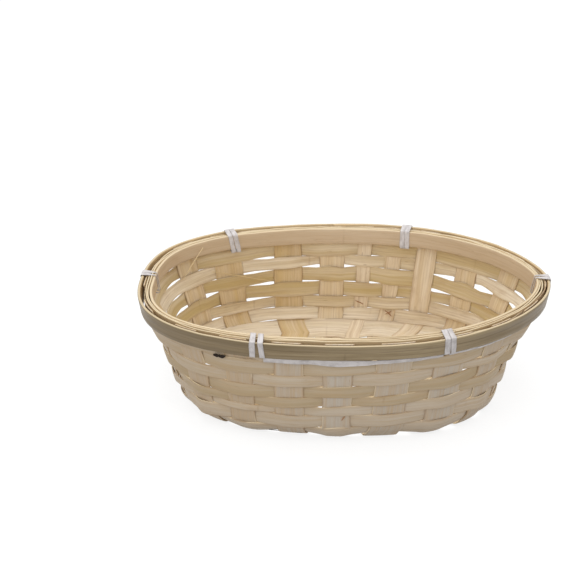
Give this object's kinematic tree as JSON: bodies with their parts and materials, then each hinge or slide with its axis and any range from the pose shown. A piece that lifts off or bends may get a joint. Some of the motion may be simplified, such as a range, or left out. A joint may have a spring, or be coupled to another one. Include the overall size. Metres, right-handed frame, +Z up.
{
  "type": "woven bamboo basket",
  "caption": "Low oval basket woven from flat bamboo splints, with flared sides, an open weave and a hooped rim tied with flat tape, for serving or draining food.",
  "frame": {"origin": "on the resting plane, under the middle of the basket", "axes": "+X along the oval, +Y across it towards the back, +Z up"},
  "size_m": [0.3313, 0.2103, 0.0997],
  "materials": {
    "stake": "natural split bamboo, dry and matt with a fine fibre",
    "weaver": "natural split bamboo, pale to olive, dry with a fine fibre",
    "hoop_outer": "bamboo skin side, olive brown, satin",
    "hoop_inner": "planed bamboo, tan, satin",
    "liner": "split bamboo, pale, matt",
    "tie": "flat white packing tape, slightly glossy"
  },
  "bodies": {
    "root": {"crosswise_splint_1": "stake", "crosswise_splint_2": "stake", "crosswise_splint_3": "stake", "crosswise_splint_4": "stake", "crosswise_splint_5": "stake", "crosswise_splint_6": "stake", "crosswise_splint_7": "stake", "lengthwise_splint_1": "stake", "lengthwise_splint_2": "stake", "lengthwise_splint_3": "stake", "top_weaver": "weaver", "weaver_1": "weaver", "weaver_2": "weaver", "weaver_3": "weaver", "weaver_4": "weaver", "weaver_5": "weaver", "weaver_6": "weaver", "weaver_7": "weaver", "outer_hoop": "hoop_outer", "inner_hoop": "hoop_inner", "outer_liner": "liner", "inner_liner": "liner", "tie_front_left_a": "tie", "tie_front_left_b": "tie", "tie_front_right_a": "tie", "tie_front_right_b": "tie", "tie_right_a": "tie", "tie_right_b": "tie", "tie_back_right_a": "tie", "tie_back_right_b": "tie", "tie_back_left_a": "tie", "tie_back_left_b": "tie", "tie_left_a": "tie", "tie_left_b": "tie", "tape_run_front": "tie", "tape_run_right": "tie"}
  },
  "joints": []
}
